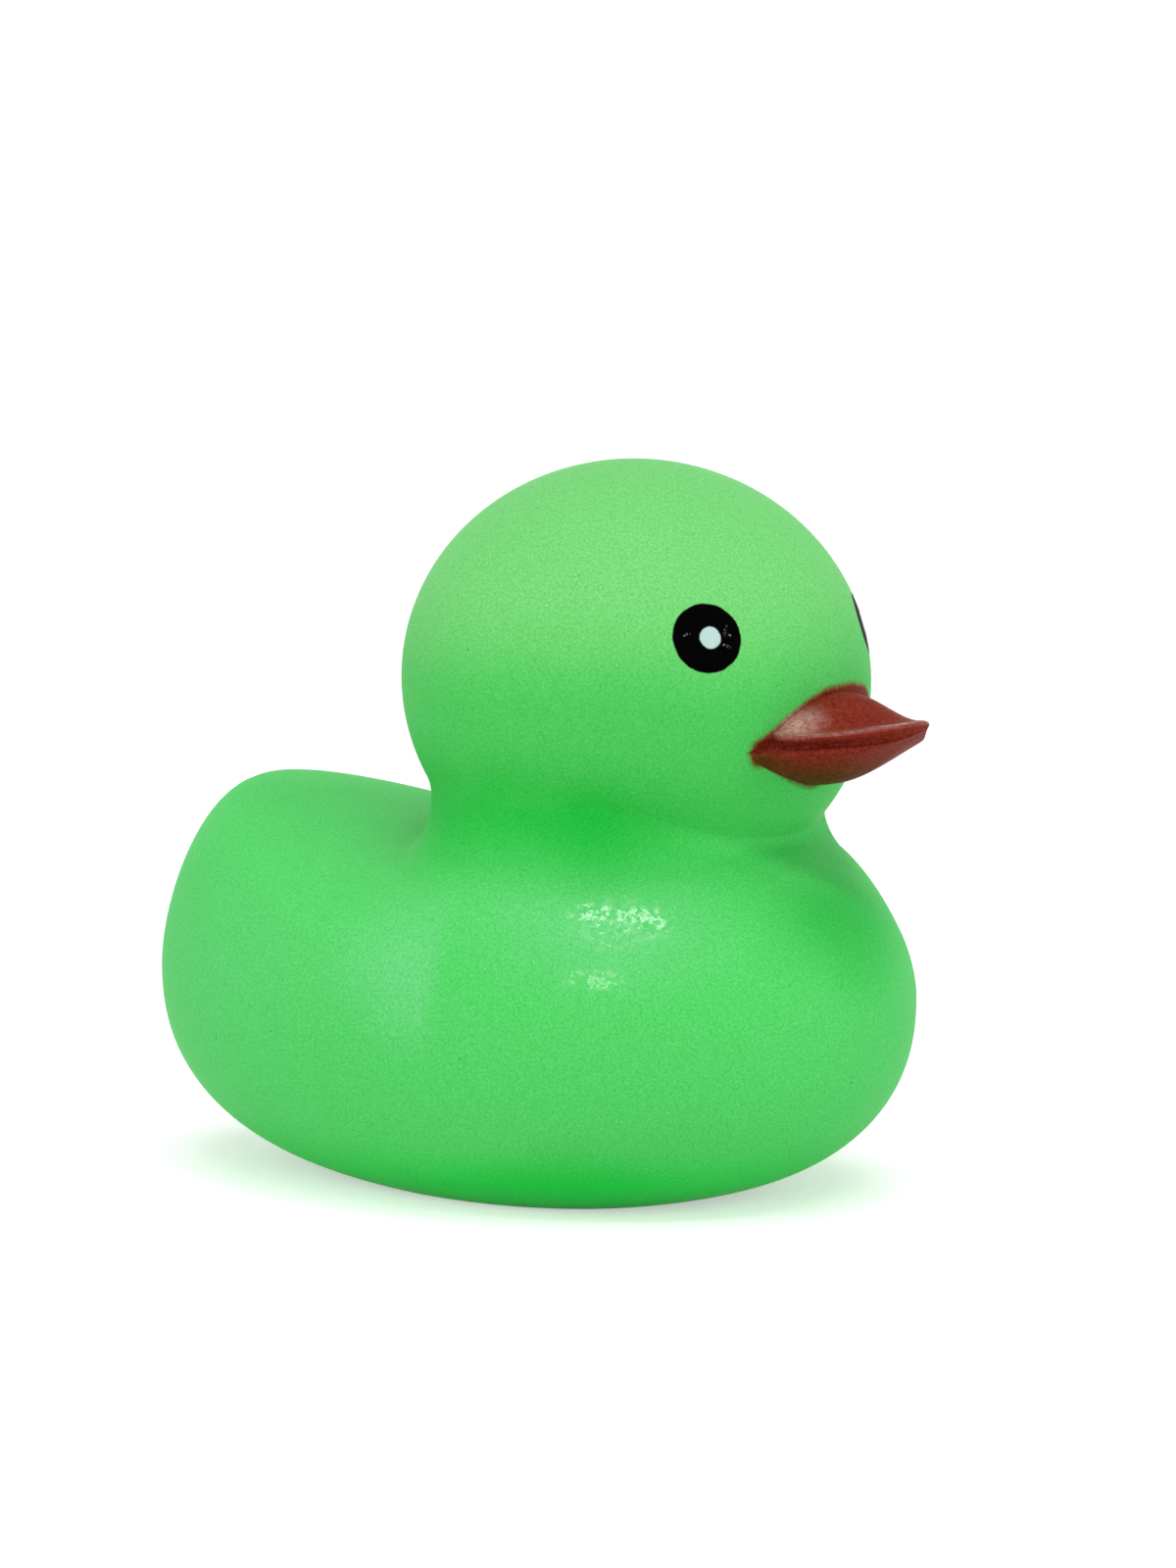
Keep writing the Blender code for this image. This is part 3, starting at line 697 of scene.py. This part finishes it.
# Painted light and shade in these greens: the paler crown green is painted light, the darker face green and the deep
# neck green are painted shade, the pale flank green is a painted sheen, and the green of the foot is painted bounce
# light.
GREEN_CROWN_LIGHT = (0.162, 0.60, 0.163)
GREEN_FACE_SHADE = (0.068, 0.535, 0.098)
GREEN_PAINTED_SHEEN = (0.135, 0.62, 0.195)
GREEN_PAINTED_SHADE = (0.004, 0.45, 0.037)
GREEN_PAINTED_BOUNCE = (0.008, 0.66, 0.070)
GRAIN = (1.1, 0.42, 0.95)
BILL_RED = (0.200, 0.025, 0.014)
# Painted light and shade in these bill colours: the pale one is a painted sheen on the deck, the dark one is painted
# shade in the hollow under the rim, and the olive one is thin spray with painted green bounce light low down.
BILL_PAINTED_SHEEN = (0.66, 0.41, 0.365)
BILL_PAINTED_SHADE = (0.15, 0.015, 0.008)
BILL_OLIVE = (0.092, 0.033, 0.007)
BILL_MOTTLE = (0.20, 0.07, 0.045)
BILL_DARKEST = (0.02, 0.004, 0.002)

# %% Duck vinyl
duck_vinyl, tree, vinyl, place = new_material("duck_vinyl")
surface = use_group(tree, moulded, Place=place, Ripple_size=2.2, Ripple_depth=1.0, Grain_size=0.16, Grain_depth=0.12)
speck = use_group(tree, specks, Place=place, Spacing=2.4, Size=0.12)["Mask"]
along, aside, height = add_node(tree, "ShaderNodeSeparateXYZ", {0: place}).outputs
uneven = math_node(tree, "MULTIPLY_ADD", surface["Tone"], 5.0, -2.5)
wavy_height = math_node(tree, "ADD", uneven, height)
# Painted light: the crown turns paler and a little yellow towards the top.
crown_light_share = ramp(tree, wavy_height, 34.0, 43.5)
mirrored = add_node(tree, "ShaderNodeCombineXYZ", {0: along, 1: math_node(tree, "ABSOLUTE", aside), 2: wavy_height})
mirrored = mirrored.outputs[0]
# Painted shade: above the neck the head takes a slightly darker green than the body.
green = mixed(tree, ramp(tree, wavy_height, 25.0, 30.0), GREEN, GREEN_FACE_SHADE)
green = mixed(tree, crown_light_share, green, GREEN_CROWN_LIGHT)
behind = ramp(tree, along, 6.0, 3.6)
# Painted sheen: pale patches on each flank and towards the tail, where the light falls on the body.
flank_sheen_patches = (
    ((15, 14.5, 21.5), (15, 9, 7), 0.9),
    ((4, 20, 17.5), (11, 7, 7), behind),
    ((-14, 17, 16), (16, 9, 9), 0.3),
)
for centre, sizes, share in flank_sheen_patches:
    sheen_share = math_node(tree, "MULTIPLY", blob(tree, mirrored, centre, sizes, 1.0, 0.0), share)
    green = mixed(tree, sheen_share, green, GREEN_PAINTED_SHEEN)
from_axis = add_node(tree, "ShaderNodeCombineXYZ", {0: math_node(tree, "SUBTRACT", along, HEAD_X), 1: aside}).outputs[0]
from_axis = add_node(tree, "ShaderNodeVectorMath", {0: from_axis}, operation="LENGTH").outputs["Value"]
# Painted shade: deep green round the neck under the head and on the breast under the bill.
neck_shade_reach = ramp(tree, math_node(tree, "MULTIPLY_ADD", uneven, 0.4, from_axis), 18.5, 13.5)
neck_shade_share = math_node(tree, "MULTIPLY", ramp(tree, wavy_height, 33.5, 27.0), neck_shade_reach)
neck_shade_share = math_node(tree, "MULTIPLY", neck_shade_share, ramp(tree, along, 20.0, 12.0, 0.25, 1.0))
neck_shade_share = math_node(tree, "MULTIPLY", neck_shade_share, ramp(tree, along, -6.0, 2.0, 0.3, 1.0))
breast_shade_share = math_node(tree, "MULTIPLY", blob(tree, mirrored, (25, 0, 20.5), (8, 11, 7.5), 1.0, 0.1), 0.6)
green = mixed(tree, math_node(tree, "MAXIMUM", neck_shade_share, breast_shade_share), green, GREEN_PAINTED_SHADE)
# Painted bounce light: the lowest 6 mm turn a brighter, deeper green.
green = mixed(tree, ramp(tree, height, 6.0, 0.5), green, GREEN_PAINTED_BOUNCE)
green = mixed(tree, math_node(tree, "MULTIPLY", speck, 0.55), green, (0.01, 0.12, 0.02))
fine = noise(tree, place, 0.17, 1.0, 0.6)
around_one = [1 - 0.5 * g for g in GRAIN]
grain = add_node(tree, "ShaderNodeVectorMath", {0: fine, 1: GRAIN, 2: around_one}, operation="MULTIPLY_ADD").outputs[0]
green = add_node(tree, "ShaderNodeVectorMath", {0: green, 1: grain}, operation="MULTIPLY").outputs[0]
tree.links.new(green, vinyl.inputs["Base Color"])
tree.links.new(math_node(tree, "MULTIPLY_ADD", surface["Tone"], 0.1, 0.5), vinyl.inputs["Roughness"])
tree.links.new(bump(tree, surface["Height"], 0.3, 0.06), vinyl.inputs["Normal"])
spots = ramp(tree, noise(tree, place, 0.45, 2.0), 0.44, 0.56)
folded = add_node(tree, "ShaderNodeCombineXYZ", {0: along, 1: math_node(tree, "ABSOLUTE", aside), 2: height}).outputs[0]
high_patch = blob(tree, folded, (16.2, 14.6, 21.0), (4.4, 3.8, 2.1), 1.0, 0.6)
low_patch = blob(tree, folded, (15.6, 17.0, 17.4), (2.8, 2.6, 0.9), 1.0, 0.5)
polished = math_node(tree, "MAXIMUM", high_patch, math_node(tree, "MULTIPLY", low_patch, 0.8))
polished = math_node(tree, "MULTIPLY", polished, spots)
gloss = add_node(tree, "ShaderNodeBsdfPrincipled", {"Specular IOR Level": 0.6, "Roughness": 0.17})
tree.links.new(green, gloss.inputs["Base Color"])
tree.links.new(bump(tree, noise(tree, place, 0.38, 1.0), 1.0, 0.035), gloss.inputs["Normal"])
vinyl.inputs["Specular IOR Level"].default_value = 0.08
vinyl.inputs["Subsurface Weight"].default_value = 0.15
vinyl.inputs["Subsurface Radius"].default_value = (0.4, 1.6, 0.6)
vinyl.inputs["Subsurface Scale"].default_value = MM

# %% [markdown]
# The spray is thick and glossy on the rim of the bill. The hollow under the rim is darker as painted shade.
# Lower down the colour turns darker and olive: there the spray thins out and the green shows through, and
# green light bounced from the breast is painted in too. At the corners of the mouth it also thins to olive,
# where it was aimed last. It is mottled all over. A soft sheen along the right edge of the deck, and a
# little near the tip, is a painted highlight: a pale, broken sheen in the colour, because a glossy coat there
# mirrored the green head and turned olive.

# %% Spray paint of the bill
spray = add_node(tree, "ShaderNodeBsdfPrincipled", {"Specular IOR Level": 0.01, "Coat Roughness": 0.24})
spray_mask = use_group(tree, paint_edge, Place=place, Inside=bill_inside(tree, place), Wobble=0.3, Wobble_size=1.4,
                       Fuzz=0.35, Softness=0.35)["Mask"]
share_out = math_node(tree, "MULTIPLY_ADD", along, 1 / BILL_LENGTH, -BILL_START / BILL_LENGTH)
squared = math_node(tree, "MULTIPLY", share_out, share_out)
under_rim = math_node(tree, "SUBTRACT", math_node(tree, "MULTIPLY_ADD", squared, 0.97, 33.34), height)
above_mouth = math_node(tree, "SUBTRACT", height, math_node(tree, "MULTIPLY_ADD", share_out, 0.82, 32.17))
# Painted shade: the hollow between the rim and the mouth line is darker.
hollow_shade_share = math_node(tree, "MULTIPLY", ramp(tree, under_rim, 0.2, 0.55), ramp(tree, above_mouth, -0.35, 0.05))
hollow_shade_share = math_node(tree, "MULTIPLY", hollow_shade_share, ramp(tree, share_out, 0.9, 0.5, 0.1, 0.9))
# Lower down the spray turns darker and olive: thin spray, with painted green bounce light from the breast. The corners
# of the mouth are olive too.
red = mixed(tree, math_node(tree, "MULTIPLY", ramp(tree, height, 32.2, 29.8), 0.9), BILL_RED, BILL_OLIVE)
olive_corner = blob(tree, folded, (22.3, 6.4, 31.7), (2.2, 2.5, 1.6), 1.0, 0.0)
red = mixed(tree, math_node(tree, "MULTIPLY", olive_corner, 0.8), red, BILL_OLIVE)
# Painted highlight: a pale, broken sheen on the right of the deck and a little near the tip.
painted_sheen_share = blob(tree, place, (23.8, -5.0, 34.0), (2.7, 3.6, 2.3), 1.0, 0.0)
tip_sheen = math_node(tree, "MULTIPLY", blob(tree, place, (31, 0, 34), (1.4, 1.6, 1.2), 1.0, 0.0), 0.3)
painted_sheen_share = math_node(tree, "MAXIMUM", painted_sheen_share, tip_sheen)
painted_sheen_share = math_node(tree, "MULTIPLY", painted_sheen_share, ramp(tree, noise(tree, place, 0.35, 2.0), 0.25, 0.65, 0.25, 0.75))
painted_sheen_share = math_node(tree, "MULTIPLY", painted_sheen_share, ramp(tree, under_rim, 0.15, -0.1, 0.25, 1.0))
red = mixed(tree, painted_sheen_share, red, BILL_PAINTED_SHEEN)
red = mixed(tree, hollow_shade_share, red, BILL_PAINTED_SHADE)
mottle = noise(tree, place, 0.26, 2.0, 0.6)
around_zero = [-0.5 * m for m in BILL_MOTTLE]
mottle = add_node(tree, "ShaderNodeVectorMath", {0: mottle, 1: BILL_MOTTLE, 2: around_zero}, operation="MULTIPLY_ADD")
red = add_node(tree, "ShaderNodeVectorMath", {0: red, 1: mottle.outputs[0]}, operation="ADD").outputs[0]
red = add_node(tree, "ShaderNodeVectorMath", {0: red, 1: BILL_DARKEST}, operation="MAXIMUM").outputs[0]
tree.links.new(red, spray.inputs["Base Color"])
tree.links.new(math_node(tree, "MULTIPLY_ADD", surface["Tone"], 0.1, 0.36), spray.inputs["Roughness"])
on_rim = math_node(tree, "MULTIPLY", ramp(tree, under_rim, -0.15, -0.02), ramp(tree, under_rim, 0.32, 0.2))
coat = math_node(tree, "MULTIPLY", on_rim, math_node(tree, "MULTIPLY_ADD", spots, 0.5, 0.5))
tree.links.new(coat, spray.inputs["Coat Weight"])
tree.links.new(bump(tree, surface["Height"], 0.3, 0.05), spray.inputs["Normal"])

# %% Ink of the eyes
ink = add_node(tree, "ShaderNodeBsdfPrincipled", {"Specular IOR Level": 0.005})
masks = {}
for label, eye, size in (("right", right_eye, EYE_RADIUS), ("left", left_eye, LEFT_EYE_RADIUS)):
    centre, across, upward = eye
    disc = disc_distance(tree, place, centre, across, upward, size)
    dot = disc_distance(tree, place, centre + across * 0.2, across, upward, DOT_RADIUS)
    masks[label] = (disc, dot)
eye_inside, dot_inside = [math_node(tree, "MAXIMUM", masks["right"][k], masks["left"][k]) for k in (0, 1)]
eye_mask = use_group(tree, paint_edge, Place=place, Inside=eye_inside, Wobble=0.16, Wobble_size=1.1, Fuzz=0.05,
                     Softness=0.05)["Mask"]
dot_mask = use_group(tree, paint_edge, Place=place, Inside=dot_inside, Wobble=0.14, Wobble_size=0.6, Fuzz=0.04,
                     Softness=0.06)["Mask"]
# Rubbed strokes on the right eye: sideways and upwards from its centre, lean in degrees, half length
RUB_STROKES = ((-1.45, 0.25, 8, 0.35), (1.35, 0.5, 65, 0.5), (1.5, 0.1, 20, 0.3), (1.3, -0.6, -25, 0.45))
rubbed = 0.0
centre, across, upward = right_eye
for sideways, upwards, lean, length in RUB_STROKES:
    away = add_node(tree, "ShaderNodeVectorMath", {0: place, 1: centre + across * sideways + upward * upwards},
                    operation="SUBTRACT").outputs[0]
    c, n = math.cos(math.radians(lean)), math.sin(math.radians(lean))
    stroke = math_node(tree, "DIVIDE", dot_with(tree, away, across * c + upward * n), length)
    width = math_node(tree, "DIVIDE", dot_with(tree, away, upward * c - across * n), 0.13)
    far = math_node(tree, "ADD", math_node(tree, "MULTIPLY", stroke, stroke), math_node(tree, "MULTIPLY", width, width))
    rubbed = math_node(tree, "MAXIMUM", ramp(tree, far, 1.0, 0.2), rubbed)
rubbed = math_node(tree, "MULTIPLY", rubbed, ramp(tree, noise(tree, place, 0.22, 2.0), 0.46, 0.62))
black = mixed(tree, rubbed, (0.001, 0.001, 0.001), (0.16, 0.18, 0.17))
tree.links.new(mixed(tree, dot_mask, black, (0.46, 0.64, 0.595)), ink.inputs["Base Color"])
tree.links.new(math_node(tree, "MULTIPLY_ADD", surface["Tone"], 0.1, 0.35), ink.inputs["Roughness"])

# %% Paint over vinyl, ink over both
bare = add_node(tree, "ShaderNodeMixShader", {0: polished, 1: vinyl.outputs[0], 2: gloss.outputs[0]}).outputs[0]
painted = add_node(tree, "ShaderNodeMixShader", {0: spray_mask, 1: bare, 2: spray.outputs[0]}).outputs[0]
printed = add_node(tree, "ShaderNodeMixShader", {0: eye_mask, 1: painted, 2: ink.outputs[0]}).outputs[0]
tree.links.new(printed, tree.nodes["Material Output"].inputs["Surface"])
duck.data.materials.clear()
duck.data.materials.append(duck_vinyl)
for face in duck.data.polygons:
    face.material_index = 0
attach(duck, "root")
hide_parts("duck_body")
print("vinyl has", len(tree.nodes), "nodes")

# %% [markdown]
# ## The squeaker
# Its flanged tube, its reed holder and the reed keep their CAD shapes, sharp corners and all, because the
# base hides nearly all of them. The tube and the holder are plain white polyethylene; the reed is a thin
# strip, a little bluer and smoother.

# %% Squeaker finishes


def plastic(name, colour, roughness):
    mat, tree, shader, place = new_material(name)
    surface = use_group(tree, moulded, Place=place, Ripple_size=1.5, Ripple_depth=0.5, Grain_size=0.25, Grain_depth=0.2)
    speck = use_group(tree, specks, Place=place, Spacing=1.6, Size=0.08)["Mask"]
    tone = mixed(tree, ramp(tree, surface["Tone"], 0.3, 0.7), colour, tuple(0.93 * c for c in colour))
    tone = mixed(tree, math_node(tree, "MULTIPLY", speck, 0.5), tone, (0.25, 0.24, 0.22))
    tree.links.new(tone, shader.inputs["Base Color"])
    rough = math_node(tree, "MULTIPLY_ADD", surface["Tone"], 0.15, roughness)
    tree.links.new(rough, shader.inputs["Roughness"])
    tree.links.new(bump(tree, surface["Height"], 0.2, 0.03), shader.inputs["Normal"])
    return mat


finishes = {
    "squeaker_housing": plastic("squeaker_white", (0.78, 0.78, 0.74), 0.30),
    "squeaker_reed_holder": plastic("squeaker_holder", (0.72, 0.72, 0.69), 0.38),
    "squeaker_reed": plastic("squeaker_reed_film", (0.66, 0.70, 0.72), 0.18),
}
for node_name, finish in finishes.items():
    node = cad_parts[node_name]
    for slot in node.material_slots:
        slot.material = finish
    print(node_name, "finish", finish.name)

# %% [markdown]
# ## Floor and light
# The photo shows the duck on white with very even light from the front, as in a light tent: the sides and
# the face of the body are about equally bright, what faces up or back is darker, and narrow lamps in front
# leave two glints on the flank. So large soft lamps stand left, right, in front and above, two narrow bars
# give the glints, and the world adds a little from all round. To the camera the floor adds a little light
# of its own, so that it turns white without more light on the duck, and it still shows the shadow.

# %% Floor
turns = np.radians(np.linspace(0, 90, 13))
sweep = [(-0.5, 0.0)] + [(0.45 + 0.15 * math.sin(a), 0.15 - 0.15 * math.cos(a)) for a in turns] + [(0.6, 1.2)]
side_way = np.array([math.cos(VIEW_TURN), math.sin(VIEW_TURN), 0.0])
deep_way = np.array([-math.sin(VIEW_TURN), math.cos(VIEW_TURN), 0.0])
strip = [deep_way * d + [0, 0, h] + side_way * s for d, h in sweep for s in (-1.5, 1.5)]
floor_faces = [(2 * k, 2 * k + 1, 2 * k + 3, 2 * k + 2) for k in range(len(sweep) - 1)]
floor_mesh = bpy.data.meshes.new("floor")
floor_mesh.from_pydata([tuple(p) for p in strip], [], floor_faces)
floor_mesh.shade_smooth()
floor = bpy.data.objects.new("floor", floor_mesh)
bpy.context.scene.collection.objects.link(floor)
floor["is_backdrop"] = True
paper = bpy.data.materials.new("white_paper")
paper.use_nodes = True
tree = paper.node_tree
tree.nodes.clear()
path = tree.nodes.new("ShaderNodeLightPath").outputs
seen = math_node(tree, "MAXIMUM", path["Is Camera Ray"],
                 math_node(tree, "MAXIMUM", path["Is Glossy Ray"], path["Is Transmission Ray"]))
diffuse = add_node(tree, "ShaderNodeBsdfDiffuse", {"Color": (0.88, 0.88, 0.88, 1.0)}).outputs[0]
glow_strength = math_node(tree, "MULTIPLY", seen, 0.45)
glow = add_node(tree, "ShaderNodeEmission", {"Color": (1, 1, 1, 1), "Strength": glow_strength})
both = add_node(tree, "ShaderNodeAddShader", {0: diffuse, 1: glow.outputs[0]}).outputs[0]
add_node(tree, "ShaderNodeOutputMaterial", {"Surface": both})
floor_mesh.materials.append(paper)

# %% World and lamps
world = bpy.data.worlds.new("studio")
world.use_nodes = True
tree = world.node_tree
path = tree.nodes.new("ShaderNodeLightPath").outputs
seen = math_node(tree, "MAXIMUM", path["Is Camera Ray"],
                 math_node(tree, "MAXIMUM", path["Is Glossy Ray"], path["Is Transmission Ray"]))
background = tree.nodes["Background"]
background.inputs["Color"].default_value = (1.0, 1.0, 1.0, 1.0)
tree.links.new(math_node(tree, "MULTIPLY_ADD", seen, 0.7, 0.3), background.inputs["Strength"])
bpy.context.scene.world = world


LAMP_DISTANCE, LAMP_AIM_HEIGHT = 0.6, 0.025


def area_lamp(name, turn, rise, width, height, power):
    """A flat lamp turned from the camera's side and raised, in degrees; its size is in metres."""
    back = aim(VIEW_TURN + math.radians(turn), math.radians(rise), 1.0, Vector((0, 0, 0)))[0]
    data = bpy.data.lights.new(name, "AREA")
    data.shape = "RECTANGLE"
    data.size = width
    data.size_y = height
    data.energy = power
    lamp = bpy.data.objects.new(name, data)
    bpy.context.scene.collection.objects.link(lamp)
    lamp.location = Vector((0, 0, LAMP_AIM_HEIGHT)) + back * LAMP_DISTANCE
    lamp.rotation_mode = "QUATERNION"
    lamp.rotation_quaternion = back.to_track_quat("Z", "Y")
    return lamp


area_lamp("left_panel", -80, 12, 0.4, 0.4, 1.0)
area_lamp("right_panel", 80, 12, 0.4, 0.4, 1.0)
area_lamp("front_panel", 0, 12, 0.4, 0.4, 1.08)
area_lamp("overhead_panel", 0, 88, 0.4, 0.4, 1.05)
area_lamp("glint_bar", 9, 54, 0.5, 0.06, 1.0)
area_lamp("low_glint_bar", -10, 29, 0.18, 0.03, 0.13)
bpy.context.scene.view_settings.view_transform = "Standard"

# %% [markdown]
# ## Sizes and the end
# The box of the visual model, without the floor, is printed in mm. The visual model must stay inside
# the CAD model's box.

# %% Write the sizes and finish
low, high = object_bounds()
print("visual box in mm", [round(v / MM, 2) for v in (*low, *high)])
